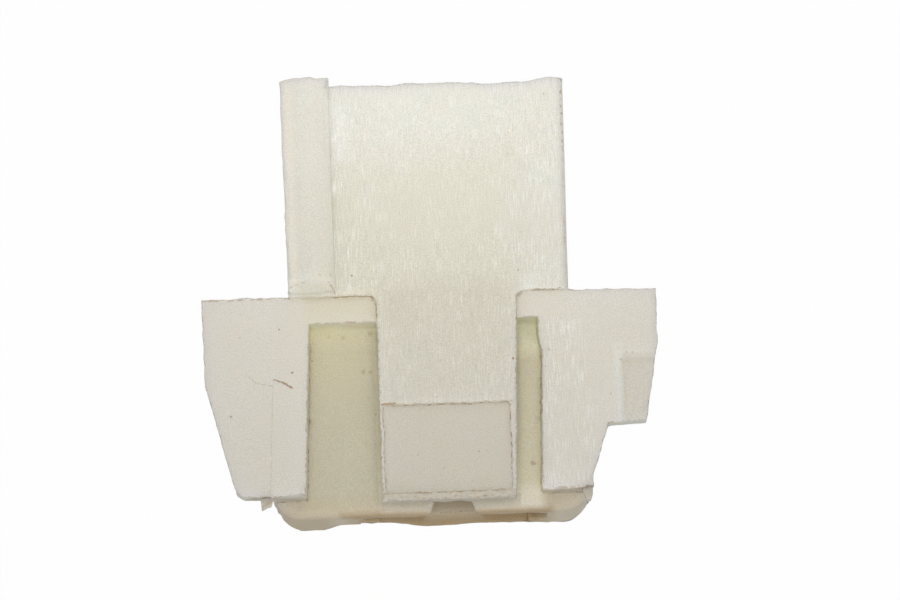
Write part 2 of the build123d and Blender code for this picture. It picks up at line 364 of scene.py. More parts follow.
def line_group():
    """Grime along a straight line from one point to another, broken up by grain."""
    tree, given, result = start_group(
        "Grime Line",
        (("Point", "NodeSocketVector", (0, 0, 0)), ("Grain", "NodeSocketFloat", 0.5),
         ("From", "NodeSocketVector", (0, 0, 0)), ("To", "NodeSocketVector", (0, 0, 0)),
         ("Width", "NodeSocketFloat", 0.05 * MM), ("Cover", "NodeSocketFloat", 0.5),
         ("Strength", "NodeSocketFloat", 1.0)),
        (("Mask", "NodeSocketFloat"),))
    along = vectors(tree, "SUBTRACT", given["To"], given["From"])
    offset = vectors(tree, "SUBTRACT", given["Point"], given["From"])
    reach = maths(tree, "DIVIDE", measure(tree, "DOT_PRODUCT", offset, along),
                  measure(tree, "DOT_PRODUCT", along, along), clamp=True)
    drawn = place(tree, "ShaderNodeVectorMath", {0: along, "Scale": reach}, operation="SCALE")
    apart = measure(tree, "DISTANCE", offset, drawn.outputs[0])
    near = maths(tree, "SUBTRACT", 1.0, maths(tree, "DIVIDE", apart, given["Width"]), clamp=True)
    near = maths(tree, "MULTIPLY", near, 1.6, clamp=True)
    bare = maths(tree, "SUBTRACT", 1.0, given["Cover"])
    kept = span(tree, given["Grain"], maths(tree, "SUBTRACT", bare, 0.1),
                maths(tree, "ADD", bare, 0.1))
    mask = maths(tree, "MULTIPLY", maths(tree, "MULTIPLY", near, kept), given["Strength"])
    tree.links.new(mask, result["Mask"])
    return tree


def spot_group():
    """One soft spot."""
    tree, given, result = start_group(
        "Spot",
        (("Point", "NodeSocketVector", (0, 0, 0)), ("Centre", "NodeSocketVector", (0, 0, 0)),
         ("Radius", "NodeSocketFloat", 0.05 * MM), ("Strength", "NodeSocketFloat", 1.0)),
        (("Mask", "NodeSocketFloat"),))
    apart = measure(tree, "DISTANCE", given["Point"], given["Centre"])
    near = span(tree, maths(tree, "DIVIDE", apart, given["Radius"]), 1.0, 0.4)
    tree.links.new(maths(tree, "MULTIPLY", near, given["Strength"]), result["Mask"])
    return tree


def speck_group():
    """Round specks scattered in the cells of a grid."""
    tree, given, result = start_group(
        "Specks",
        (("Spacing", "NodeSocketFloat", 0.8 * MM), ("Radius", "NodeSocketFloat", 0.1),
         ("Share", "NodeSocketFloat", 0.2), ("Seed", "NodeSocketFloat", 0.0)),
        (("Mask", "NodeSocketFloat"),))
    shift = place(tree, "ShaderNodeCombineXYZ", {axis: given["Seed"] for axis in range(3)})
    scale = maths(tree, "DIVIDE", 1.0, given["Spacing"])
    cell = place(tree, "ShaderNodeVectorMath", {0: object_point(tree), "Scale": scale},
                 operation="SCALE")
    spot = vectors(tree, "ADD", cell.outputs[0], shift.outputs[0])
    cells = place(tree, "ShaderNodeTexVoronoi", {"Vector": spot, "Scale": 1.0})
    chance = place(tree, "ShaderNodeSeparateColor", {0: cells.outputs["Color"]})
    near = maths(tree, "SUBTRACT", 1.0,
                 maths(tree, "DIVIDE", cells.outputs["Distance"], given["Radius"]), clamp=True)
    near = maths(tree, "MULTIPLY", near, 2.0, clamp=True)
    chosen = maths(tree, "LESS_THAN", chance.outputs[0], given["Share"])
    tree.links.new(maths(tree, "MULTIPLY", near, chosen), result["Mask"])
    return tree


def mottle_group():
    """Cloudy tone and fine grain of a moulded surface."""
    tree, given, result = start_group(
        "Mottle",
        (("Cloud Size", "NodeSocketFloat", 3.0 * MM), ("Grain Size", "NodeSocketFloat", 0.12 * MM)),
        (("Cloud", "NodeSocketFloat"), ("Grain", "NodeSocketFloat")))
    point = object_point(tree)
    for label, size, detail in (("Cloud", "Cloud Size", 3.0), ("Grain", "Grain Size", 1.0)):
        scale = maths(tree, "DIVIDE", 1.0, given[size])
        made = place(tree, "ShaderNodeTexNoise",
                     {"Vector": point, "Scale": scale, "Detail": detail})
        tree.links.new(made.outputs["Fac"], result[label])
    return tree


def use(tree, group, **inputs):
    """Places a node group. Underscores in an input's name stand for spaces."""
    made = tree.nodes.new("ShaderNodeGroup")
    made.node_tree = group
    for name, value in inputs.items():
        socket = made.inputs[name.replace("_", " ")]
        if isinstance(value, bpy.types.NodeSocket):
            tree.links.new(value, socket)
        else:
            socket.default_value = value
    return made.outputs


def strongest(tree, masks):
    """The largest of several masks."""
    result = masks[0]
    for mask in masks[1:]:
        result = maths(tree, "MAXIMUM", result, mask)
    return result


# Marks on the surface

def grime_lines():
    """Edges, corners and scratches that hold grime: from, to, width, cover and strength."""
    front = MAIN_FACE
    wing = FLANGE_FACE
    return (
        # Outer edges
        ((BLOCK_RIGHT + 0.05 * MM, WIRE_END, front), (BLOCK_RIGHT - 0.03 * MM, SHOULDER, front),
         0.12 * MM, 0.46, 1.2),
        ((RAIL_RIGHT, WIRE_END, front), (BLOCK_RIGHT, WIRE_END, front), 0.06 * MM, 0.5, 0.45),
        ((-FLANGE_REACH, SHOULDER, wing), (BLOCK_LEFT, SHOULDER, wing), 0.07 * MM, 0.52, 0.6),
        ((BLOCK_RIGHT, SHOULDER, wing), (FLANGE_REACH, SHOULDER, wing), 0.09 * MM, 0.54, 0.6),
        ((-LEFT_TIP_REACH, SHROUD_END, wing), (LEFT_SLOT_MOUTH, SHROUD_END, wing),
         0.06 * MM, 0.5, 0.6),
        ((RIGHT_SLOT_MOUTH, SHROUD_END, wing), (RIGHT_TIP_REACH, SHROUD_END, wing),
         0.08 * MM, 0.5, 0.5),
        ((-7.5 * MM, -9.0 * MM, wing), (-6.95 * MM, -8.8 * MM, wing), 0.14 * MM, 0.5, 0.7),
        # Step from the main face down to the flange
        ((-4.0 * MM, SHOULDER, wing), (-2.6 * MM, SHOULDER, wing), 0.06 * MM, 0.58, 0.75),
        ((-2.5 * MM, SHOULDER, wing), (ARM_LEFT, SHOULDER - 0.4 * MM, wing), 0.07 * MM, 0.55, 0.7),
        ((ARM_LEFT, SHOULDER - 0.4 * MM, wing), (ARM_LEFT, SLOT_END, wing), 0.06 * MM, 0.5, 0.5),
        ((BLOCK_RIGHT, SHOULDER, wing), (4.2 * MM, SHOULDER, wing), 0.05 * MM, 0.55, 0.6),
        ((4.1 * MM, SHOULDER, wing), (ARM_RIGHT, SHOULDER - 0.4 * MM, wing), 0.06 * MM, 0.55, 0.6),
        ((ARM_RIGHT, SHOULDER - 0.4 * MM, wing), (ARM_RIGHT, SLOT_END, wing), 0.06 * MM, 0.5, 0.5),
        # Sides, pad and tip of the latch arm
        ((ARM_LEFT, SLOT_END, front), (ARM_LEFT, ARM_TIP, front), 0.09 * MM, 0.42, 0.7),
        ((ARM_RIGHT, SLOT_END, front), (ARM_TIP_RIGHT, ARM_TIP, front), 0.08 * MM, 0.4, 0.6),
        ((-2.1 * MM, POCKET_ROOT, front), (3.4 * MM, POCKET_ROOT, front), 0.06 * MM, 0.58, 0.55),
        ((-2.15 * MM, POCKET_ROOT + 0.04 * MM, front), (-1.6 * MM, POCKET_ROOT + 0.04 * MM, front),
         0.08 * MM, 0.7, 0.9),
        ((ARM_LEFT, POCKET_TIP, front), (ARM_TIP_RIGHT, POCKET_TIP, front), 0.07 * MM, 0.46, 0.6),
        ((ARM_LEFT, ARM_TIP + 0.1 * MM, front), (ARM_TIP_RIGHT, ARM_TIP + 0.1 * MM, front),
         0.16 * MM, 0.38, 0.45),
        # Edges of the slots
        ((LEFT_SLOT_WALL, SLOT_END, wing), (ARM_LEFT, SLOT_END, wing), 0.06 * MM, 0.42, 0.55),
        ((-3.6 * MM, SLOT_END, wing), (-3.2 * MM, SLOT_END, wing), 0.08 * MM, 0.6, 0.8),
        ((RIGHT_SLOT_WALL, SLOT_END, wing), (RIGHT_SLOT_WALL, SHROUD_END, wing),
         0.06 * MM, 0.36, 0.6),
        # Crack at the rail's foot
        ((-4.64 * MM, 0.82 * MM, 9.24 * MM), (-4.22 * MM, 0.47 * MM, 9.05 * MM),
         0.04 * MM, 0.75, 0.55),
        ((-4.22 * MM, 0.47 * MM, 9.05 * MM), (-4.01 * MM, 0.01 * MM, front),
         0.045 * MM, 0.75, 0.55),
        ((-4.2 * MM, 0.85 * MM, 9.1 * MM), (-4.0 * MM, 0.4 * MM, 8.95 * MM), 0.04 * MM, 0.7, 0.5),
        ((BLOCK_LEFT, 0.3 * MM, 8.95 * MM), (-5.2 * MM, 0.57 * MM, 9.22 * MM), 0.05 * MM, 0.5, 0.4),
        # Scratches and the seam on the left wing
        ((-6.76 * MM, -3.59 * MM, wing), (-6.37 * MM, -3.71 * MM, wing), 0.05 * MM, 0.75, 0.75),
        ((-6.37 * MM, -3.71 * MM, wing), (-5.99 * MM, -3.96 * MM, wing), 0.055 * MM, 0.75, 0.85),
        ((-7.91 * MM, -3.33 * MM, wing), (-7.58 * MM, -3.69 * MM, wing), 0.04 * MM, 0.62, 0.3),
        ((-7.58 * MM, -3.69 * MM, wing), (-6.85 * MM, -3.84 * MM, wing), 0.04 * MM, 0.62, 0.3),
        ((-6.81 * MM, -3.8 * MM, wing), (-7.06 * MM, SHROUD_END, wing), 0.035 * MM, 0.62, 0.2),
    )


def grime_spots():
    """Single specks and stains: centre, radius and strength."""
    front = MAIN_FACE
    wing = FLANGE_FACE
    pad = MAIN_FACE - POCKET_DEPTH
    floor = NOSE_FACE
    return (
        ((-3.26 * MM, 0.77 * MM, front), 0.06 * MM, 0.9),
        ((1.49 * MM, 6.58 * MM, front), 0.11 * MM, 0.2),
        ((3.31 * MM, 3.85 * MM, front), 0.06 * MM, 0.5),
        ((2.0 * MM, 1.91 * MM, front), 0.05 * MM, 0.45),
        ((3.9 * MM, 0.78 * MM, front), 0.06 * MM, 0.7),
        ((3.54 * MM, -3.05 * MM, front), 0.07 * MM, 1.0),
        ((-2.08 * MM, 7.85 * MM, front), 0.04 * MM, 0.4),
        ((-6.46 * MM, -1.41 * MM, wing), 0.055 * MM, 0.8),
        ((-5.97 * MM, -3.31 * MM, wing), 0.065 * MM, 0.85),
        ((-8.67 * MM, -5.1 * MM, wing), 0.06 * MM, 0.6),
        ((-8.17 * MM, -1.72 * MM, wing), 0.07 * MM, 0.35),
        ((5.1 * MM, -2.68 * MM, wing), 0.06 * MM, 0.6),
        ((8.45 * MM, -2.91 * MM, wing), 0.05 * MM, 0.5),
        ((8.68 * MM, -2.92 * MM, wing), 0.05 * MM, 0.5),
        ((7.69 * MM, -4.7 * MM, wing), 0.06 * MM, 0.35),
        ((-0.68 * MM, -7.04 * MM, pad), 0.055 * MM, 0.4),
        ((1.94 * MM, -6.96 * MM, pad), 0.055 * MM, 0.5),
        ((2.28 * MM, -6.97 * MM, pad), 0.05 * MM, 0.4),
        ((0.41 * MM, -7.64 * MM, pad), 0.06 * MM, 0.35),
        ((4.27 * MM, -7.35 * MM, floor), 0.15 * MM, 0.5),
        ((-3.8 * MM, -1.61 * MM, floor), 0.13 * MM, 0.25),
        ((-2.61 * MM, -1.43 * MM, floor), 0.16 * MM, 0.35),
        ((-2.95 * MM, -3.12 * MM, floor), 0.13 * MM, 0.38),
        ((-2.64 * MM, -3.13 * MM, floor), 0.12 * MM, 0.34),
        ((-4.4 * MM, -1.55 * MM, floor), 0.12 * MM, 0.2),
        ((-2.75 * MM, -4.25 * MM, floor), 0.12 * MM, 0.14),
    )


def draw_grime(tree):
    """Mask of all the grime in edges and corners and of every speck."""
    point = object_point(tree)
    warp = place(tree, "ShaderNodeTexNoise",
                 {"Vector": point, "Scale": 1 / (0.16 * MM), "Detail": 1.0})
    warp = vectors(tree, "SUBTRACT", warp.outputs["Color"], (0.5, 0.5, 0.5))
    warp = place(tree, "ShaderNodeVectorMath", {0: warp, "Scale": 0.11 * MM}, operation="SCALE")
    ragged = vectors(tree, "ADD", point, warp.outputs[0])
    grain = place(tree, "ShaderNodeTexNoise",
                  {"Vector": point, "Scale": 1 / (0.2 * MM), "Detail": 3.0})
    line = line_group()
    spot = spot_group()
    masks = []
    for start, end, width, cover, strength in grime_lines():
        drawn = use(tree, line, Point=ragged, Grain=grain.outputs["Fac"], From=start, To=end,
                    Width=width, Cover=cover, Strength=strength)
        masks.append(drawn["Mask"])
    for centre, radius, strength in grime_spots():
        drawn = use(tree, spot, Point=ragged, Centre=centre, Radius=radius, Strength=strength)
        masks.append(drawn["Mask"])
    return strongest(tree, masks)


def tones_and_painted_light(settings):
    """Where the nylon has another tone, and where painted light and painted shade brighten or
    darken it: lowest and highest corner, softness, amount and colour.
    """
    above = HIGH.z + 1 * MM
    under = NOSE_FACE - 0.3 * MM
    ledge = FLANGE_FACE - 0.3 * MM
    face = MAIN_FACE - 0.4 * MM
    floor_top = NOSE_FACE + 1.2 * MM
    return (
        # Painted sheen, lighter towards the wire end and in two glint patches; yellower over the
        # middle of the block; painted light on the block's left side; the flange's tone; painted
        # shade on the rail
        ((LOW.x, 5.2 * MM, 0.0), (HIGH.x, HIGH.y + 6 * MM, above), 7.0 * MM, 0.5, settings.painted_sheen),
        ((-3.6 * MM, -1.0 * MM, face), (3.2 * MM, 5.6 * MM, above),
         3.5 * MM, 0.34, settings.thick_resin),
        ((-3.95 * MM, 5.8 * MM, face), (-3.3 * MM, 8.3 * MM, above),
         0.6 * MM, 0.5, settings.painted_sheen),
        ((4.0 * MM, -0.3 * MM, face), (4.6 * MM, 0.5 * MM, above),
         0.5 * MM, 0.45, settings.painted_sheen),
        ((LOW.x, SHOULDER, -1 * MM), (BLOCK_LEFT + 0.35 * MM, HIGH.y + 1 * MM, above),
         0.5 * MM, 1.0, settings.painted_rim_light),
        ((LOW.x, LOW.y, ledge), (HIGH.x, SHOULDER, FLANGE_FACE + 0.12 * MM),
         0.2 * MM, 0.8, settings.wing_resin),
        ((BLOCK_LEFT + 0.3 * MM, SHOULDER, face), (RAIL_RIGHT - 0.03 * MM, HIGH.y + 1 * MM, above),
         0.4 * MM, 0.16, settings.painted_shade),
        # Painted shade on the latch arm with its pad, yellower bridges to it, and painted highlight
        # and painted shade on the ear's lead-in
        ((ARM_LEFT, LOW.y - 2 * MM, MAIN_FACE - 1.6 * MM), (ARM_RIGHT, SHOULDER + 0.5 * MM, above),
         1.2 * MM, 0.5, settings.painted_shade),
        ((ARM_LEFT + 0.1 * MM, POCKET_TIP, ledge),
         (ARM_TIP_RIGHT - 0.1 * MM, POCKET_ROOT, MAIN_FACE - 0.1 * MM),
         0.06 * MM, 0.3, settings.painted_shade),
        ((LEFT_SLOT_WALL, SLOT_END, ledge), (ARM_LEFT, SHOULDER + 0.1 * MM, FLANGE_FACE + 0.1 * MM),
         0.7 * MM, 0.6, settings.thick_resin),
        ((7.85 * MM, -6.5 * MM, ledge), (8.25 * MM, -2.5 * MM, FLANGE_FACE - 0.02 * MM),
         0.1 * MM, 0.6, settings.painted_sheen),
        ((8.2 * MM, LOW.y, ledge), (HIGH.x + 1 * MM, -2.9 * MM, FLANGE_FACE - 0.06 * MM),
         0.3 * MM, 0.45, settings.painted_shade),
        # Floors and walls of the slots: painted shade on the floors, yellower towards the roots,
        # painted light at the roots and beside the latch arm
        ((LEFT_SLOT_MOUTH - 0.1 * MM, LOW.y, under),
         (RIGHT_SLOT_WALL + 0.2 * MM, SLOT_END + 0.1 * MM, floor_top),
         0.8 * MM, 1.0, settings.painted_slot_shade),
        ((ARM_RIGHT - 0.5 * MM, LOW.y, under),
         (RIGHT_SLOT_WALL + 0.3 * MM, SLOT_END + 0.1 * MM, floor_top),
         0.8 * MM, 0.5, settings.painted_root_light),
        ((LEFT_SLOT_MOUTH, -3.2 * MM, under),
         (RIGHT_SLOT_WALL + 0.1 * MM, SLOT_END + 0.1 * MM, floor_top),
         2.6 * MM, 0.6, settings.thick_resin),
        ((LEFT_SLOT_MOUTH, SLOT_END - 0.55 * MM, under),
         (RIGHT_SLOT_WALL + 0.2 * MM, SLOT_END + 0.6 * MM, FLANGE_FACE - 0.6 * MM),
         1.0 * MM, 0.8, settings.painted_root_light),
        ((ARM_RIGHT - 0.5 * MM, SLOT_END - 1.3 * MM, under),
         (RIGHT_SLOT_WALL + 0.3 * MM, SLOT_END + 0.6 * MM, FLANGE_FACE - 0.6 * MM),
         0.7 * MM, 1.0, settings.painted_root_light),
        ((ARM_LEFT - 0.22 * MM, LOW.y, under),
         (ARM_LEFT + 0.1 * MM, SLOT_END, MAIN_FACE - 0.2 * MM),
         0.12 * MM, 0.45, settings.painted_root_light),
        # Nose and the inside of its mouth: painted shade on the nose and in the cavity, painted
        # light under the latch arm's tip
        ((LOW.x, LOW.y - 1 * MM, 0.0), (HIGH.x, MATING_END + 0.7 * MM, NOSE_FACE + 0.4 * MM),
         0.9 * MM, 1.0, settings.painted_nose_shade),
        ((MOUTH_LEFT - 0.2 * MM, LOW.y - 2 * MM, -1 * MM),
         (MOUTH_RIGHT, MATING_END + 3 * MM, CAVITY_ROOF + 0.2 * MM),
         1.0 * MM, 0.9, settings.painted_cavity_shade),
        ((-0.1 * MM, LOW.y - 1 * MM, CAVITY_ROOF - 0.5 * MM),
         (1.6 * MM, MATING_END + 3 * MM, NOSE_FACE - 0.15 * MM),
         0.35 * MM, 0.2, settings.painted_cavity_shade),
        ((-0.4 * MM, MATING_END + 0.35 * MM, -1 * MM),
         (1.9 * MM, MATING_END + 3 * MM, NOSE_FACE - 1.3 * MM),
         0.5 * MM, 0.9, settings.painted_nose_shade),
        ((LOW.x, LOW.y - 1 * MM, 0.0), (-4.6 * MM, MATING_END + 0.6 * MM, NOSE_FACE - 0.3 * MM),
         0.8 * MM, 0.4, settings.painted_cavity_shade),
        ((ARM_LEFT, LOW.y - 1 * MM, NOSE_FACE - 0.2 * MM),
         (RIGHT_SLOT_WALL, SHROUD_END + 0.3 * MM, NOSE_FACE + 0.2 * MM),
         0.5 * MM, 0.7, settings.painted_rim_light),
        ((MOUTH_LEFT - 0.3 * MM, LOW.y - 1 * MM, CAVITY_ROOF),
         (MOUTH_RIGHT + 0.1 * MM, MATING_END + 0.07 * MM, NOSE_FACE - 0.12 * MM),
         0.16 * MM, 0.5, settings.painted_cavity_shade),
        ((MOUTH_LEFT - 0.8 * MM, LOW.y - 1 * MM, CAVITY_ROOF),
         (MOUTH_RIGHT + 0.2 * MM, MATING_END + 0.17 * MM, NOSE_FACE + 0.4 * MM),
         0.35 * MM, 0.75, settings.painted_cavity_shade),
        # Painted light on the right side of the block, painted shade on the ends of the wings and
        # of the latch arm
        ((BLOCK_RIGHT - 0.02 * MM, SHOULDER, -1 * MM),
         (FLANGE_REACH, HIGH.y + 1 * MM, MAIN_FACE - 0.03 * MM),
         0.06 * MM, 0.7, settings.painted_rim_light),
        ((LOW.x, LOW.y - 1 * MM, NOSE_FACE + 0.25 * MM),
         (HIGH.x, SHROUD_END + 0.04 * MM, FLANGE_FACE - 0.03 * MM),
         0.06 * MM, 1.0, settings.painted_end_shade),
        ((ARM_LEFT - 0.1 * MM, ARM_TIP - 0.2 * MM, NOSE_FACE),
         (ARM_TIP_RIGHT + 0.2 * MM, POCKET_TIP + 0.02 * MM, above),
         0.08 * MM, 0.7, settings.painted_end_shade),
    )


def natural_nylon(settings):
    """Natural nylon: cloudy and translucent, streaked where the mould dragged on it, with painted
    light, painted shade and painted glints in its colour.
    """
    material = bpy.data.materials.get("moulded_nylon")
    if material:
        return material
    material = bpy.data.materials.new("moulded_nylon")
    material.use_nodes = True
    tree = material.node_tree
    tree.nodes.clear()

    region = region_group()
    lift = 0.06 * MM
    streaked_places = (
        ((RAIL_RIGHT, SHOULDER - 0.3 * MM, MAIN_FACE - lift), (HIGH.x, HIGH.y, HIGH.z)),
        ((ARM_LEFT, POCKET_ROOT, MAIN_FACE - lift), (ARM_RIGHT, SHOULDER, HIGH.z)),
        ((RIGHT_SLOT_WALL, LOW.y, FLANGE_FACE - lift), (6.9 * MM, SLOT_END, HIGH.z)),
    )
    streaked = strongest(tree, [
        use(tree, region, Lowest=lowest, Highest=highest, Softness=0.15 * MM)["Mask"]
        for lowest, highest in streaked_places
    ])
    calm = use(tree, region, Lowest=(-2.4 * MM, LOW.y, FLANGE_FACE),
               Highest=(3.4 * MM, HIGH.y + 2 * MM, HIGH.z + 2 * MM), Softness=2.2 * MM)["Mask"]
    streaked = maths(tree, "MULTIPLY", streaked, span(tree, calm, 0.0, 1.0, 1.0, 0.45))

    streaks = use(tree, streak_group(), Across=22.0, Along=1.4, Seed=0.0)
    mottle = use(tree, mottle_group(), Cloud_Size=2.6 * MM, Grain_Size=0.048 * MM)

    colour = opaque(settings.resin)
    for lowest, highest, softness, amount, tone in tones_and_painted_light(settings):
        mask = use(tree, region, Lowest=lowest, Highest=highest, Softness=softness)["Mask"]
        colour = blend(tree, maths(tree, "MULTIPLY", mask, amount), colour, opaque(tone))
    cloud = span(tree, mottle["Cloud"], 0.3, 0.7, 0.0, 0.08)
    colour = blend(tree, cloud, colour, opaque(settings.thick_resin))
    # Painted glints: paler dashes along the streaks in glossy patches
    painted_glint = maths(tree, "MULTIPLY", span(tree, streaks["Height"], 0.48, 0.72), streaked)
    painted_glint = maths(tree, "MULTIPLY", painted_glint, span(tree, streaks["Patch"], 0.0, 1.0, 0.2, 0.8))
    colour = blend(tree, painted_glint, colour, opaque(settings.painted_sheen))
    # The grain is the nylon's own. The streak term paints glints and faint shade along the real
    # ejection streaks
    grain_depth = 0.46
    glint_depth = 0.3
    grain = maths(tree, "SUBTRACT", mottle["Grain"], 0.5)
    grain = maths(tree, "MULTIPLY", grain, grain_depth)
    streak_glint = maths(tree, "SUBTRACT", streaks["Height"], 0.5)
    streak_glint = maths(tree, "MULTIPLY", streak_glint, glint_depth)
    grain_and_glint = maths(tree, "ADD", grain, 1.0)
    grain_and_glint = maths(tree, "ADD", grain_and_glint, maths(tree, "MULTIPLY", streak_glint, streaked))
    scaled = place(tree, "ShaderNodeVectorMath", {0: colour, "Scale": grain_and_glint}, operation="SCALE")
    colour = scaled.outputs[0]

    specks = use(tree, speck_group(), Spacing=1.3 * MM, Radius=0.045, Share=0.16, Seed=0.0)["Mask"]
    dirt = maths(tree, "MAXIMUM", draw_grime(tree), maths(tree, "MULTIPLY", specks, 0.55))
    worn = place(tree, "ShaderNodeAttribute", attribute_name="worn_edge").outputs["Fac"]
    crumbs = use(tree, mottle_group(), Cloud_Size=0.22 * MM, Grain_Size=0.1 * MM)["Cloud"]
    crumbled = maths(tree, "MULTIPLY", worn, span(tree, crumbs, 0.48, 0.62, 0.06, 0.8))
    dirt = maths(tree, "MAXIMUM", dirt, crumbled)
    most_dirt = 0.85
    dirt = maths(tree, "MULTIPLY", dirt, most_dirt)
    colour = blend(tree, dirt, colour, opaque(settings.grime))

    rough = span(tree, streaks["Patch"], 0.0, 1.0, 0.52, 0.34)
    roughness = place(tree, "ShaderNodeMix", {0: streaked, 2: 0.55, 3: rough}, data_type="FLOAT")

    fine = place(tree, "ShaderNodeBump",
                 {"Height": mottle["Grain"], "Distance": 0.006 * MM, "Strength": 1.0})
    drag = maths(tree, "MULTIPLY", streaks["Height"], streaked)
    relief = place(tree, "ShaderNodeBump", {
        "Height": drag, "Distance": settings.streak_depth * 2, "Normal": fine.outputs[0]})

    skin = place(tree, "ShaderNodeBsdfPrincipled", {
        "Base Color": colour, "Roughness": roughness.outputs[0], "IOR": 1.5,
        "Normal": relief.outputs[0],
        "Subsurface Weight": 1.0, "Specular IOR Level": 0.3,
        "Subsurface Radius": (0.78, 0.9, 1.0), "Subsurface Scale": 1.5 * MM,
    })
    skin.subsurface_method = "RANDOM_WALK"
    surface = tree.nodes.new("ShaderNodeOutputMaterial")
    tree.links.new(skin.outputs[0], surface.inputs["Surface"])
    return material


# The moulded surface

def join_facets(node):
    """The CAD surface as one closed mesh with a face for each flat."""
    mesh = bmesh.new()
    mesh.from_mesh(node.data)
    bmesh.ops.remove_doubles(mesh, verts=mesh.verts, dist=0.0001 * MM)
    bmesh.ops.dissolve_limit(mesh, angle_limit=radians(0.5), verts=mesh.verts, edges=mesh.edges)
    return mesh


def round_edges(mesh, radius):
    """Rounds every moulded edge and marks the new faces."""
    band = mesh.faces.layers.int.new("edge_band")
    crease = radians(36)
    sharp = [edge for edge in mesh.edges if edge.is_manifold and edge.calc_face_angle(0) > crease]
    made = bmesh.ops.bevel(
        mesh, geom=sharp, offset=radius, offset_type="OFFSET", segments=3, profile=0.5,
        affect="EDGES", clamp_overlap=False, loop_slide=True)
    for face in made["faces"]:
        face[band] = 1


def mark_edges(mesh):
    """Marks the points within the rounded edges, where dirt gathers."""
    band = mesh.faces.layers.int["edge_band"]
    worn = mesh.verts.layers.float.new("worn_edge")
    for vert in mesh.verts:
        on_rail = vert.co.x < RAIL_RIGHT + 0.15 * MM and vert.co.z > MAIN_FACE - 0.1 * MM
        on_rail |= BLOCK_LEFT < vert.co.x < RAIL_RIGHT and abs(vert.co.y - SHOULDER) < 0.3 * MM
        vert[worn] = float(not on_rail and all(face[band] for face in vert.link_faces))


def cut_grid(mesh, step, low=LOW, high=HIGH):
    """Cuts the faces between two corners along planes a step apart."""
    # Just past half a step, so that no cut runs along an edge on a round number
    first_cut = 0.513
    faces = [face for face in mesh.faces if meets(face, low, high)]
    edges = {edge for face in faces for edge in face.edges}
    verts = {vert for face in faces for vert in face.verts}
    cut = [*verts, *edges, *faces]
    for axis in range(3):
        normal = Vector((0, 0, 0))
        normal[axis] = 1
        for number in range(int((high[axis] - low[axis]) / step)):
            point = low + normal * (number + first_cut) * step
            cut = bmesh.ops.bisect_plane(
                mesh, geom=cut, dist=0.00001 * MM, plane_co=point, plane_no=normal)["geom"]


def meets(face, low, high):
    """True if a face's box meets the box between two corners."""
    for axis in range(3):
        places = [vert.co[axis] for vert in face.verts]
        if max(places) < low[axis] or min(places) > high[axis]:
            return False
    return True


def wander(point, size, seed):
    """A smooth random offset of about 1 that changes over a distance of size."""
    return noise.noise_vector(point / size + Vector((seed, seed, seed)))


def warp_edges(mesh):
    """Gives the edges that aren't straight their waves."""
    for vert in mesh.verts:
        across = vert.co.x / MM
        near = smooth(vert.co.y, WIRE_END - 1.2 * MM, WIRE_END)
        near *= smooth(vert.co.z, 6 * MM, MAIN_FACE)
        knots = WIRE_END_WAVE if vert.co.x > RAIL_RIGHT - 0.1 * MM else RAIL_END_WAVE
        vert.co.y += wave_at(knots, across) * MM * near
        near = 1 - smooth(abs(vert.co.y - SHOULDER), 0.0, 0.9 * MM)
        vert.co.y += wave_at(SHOULDER_WAVE, across) * MM * near
        near = 1 - smooth(abs(vert.co.y - SHROUD_END), 0.0, 0.7 * MM)
        near *= smooth(vert.co.z, NOSE_FACE + 0.2 * MM, FLANGE_FACE - 0.3 * MM)
        if vert.co.x < LEFT_SLOT_WALL or vert.co.x > RIGHT_SLOT_MOUTH - 0.1 * MM:
            vert.co.y += wave_at(WING_END_WAVE, across) * MM * near
        near = 1 - smooth(vert.co.y, MATING_END, MATING_END + 1.2 * MM)
        near *= 1 - smooth(vert.co.z, BACK_WALL, BACK_WALL + 1.5 * MM)
        vert.co.y += wave_at(MOUTH_LIP_WAVE, across) * MM * near


def roughen(mesh, settings):
    """Gives faces their slight sinks, edges their wear and the arm's tip its ragged flash."""
    noise.seed_set(NOISE_SEED)
    band = mesh.faces.layers.int["edge_band"]
    for vert in mesh.verts:
        place_now = vert.co.copy()
        offset = wander(place_now, 2.2 * MM, 3.1) * settings.face_wave
        if any(face[band] for face in vert.link_faces):
            offset += wander(place_now, 0.32 * MM, 7.7) * settings.edge_wave
        tip = 1 - smooth(place_now.y, ARM_TIP + 0.22 * MM, ARM_TIP + 0.32 * MM)
        tip *= smooth(place_now.z, MAIN_FACE - 0.7 * MM, MAIN_FACE - 0.3 * MM)
        if ARM_LEFT - 0.1 * MM < place_now.x < ARM_RIGHT and tip > 0:
            offset += wander(place_now, 0.16 * MM, 1.3) * settings.flash_wave * tip
        vert.co += offset


def keep_inside(mesh, low, high):
    """Holds the surface inside the CAD model's box."""
    for vert in mesh.verts:
        for axis in range(3):
            vert.co[axis] = min(max(vert.co[axis], low[axis]), high[axis])


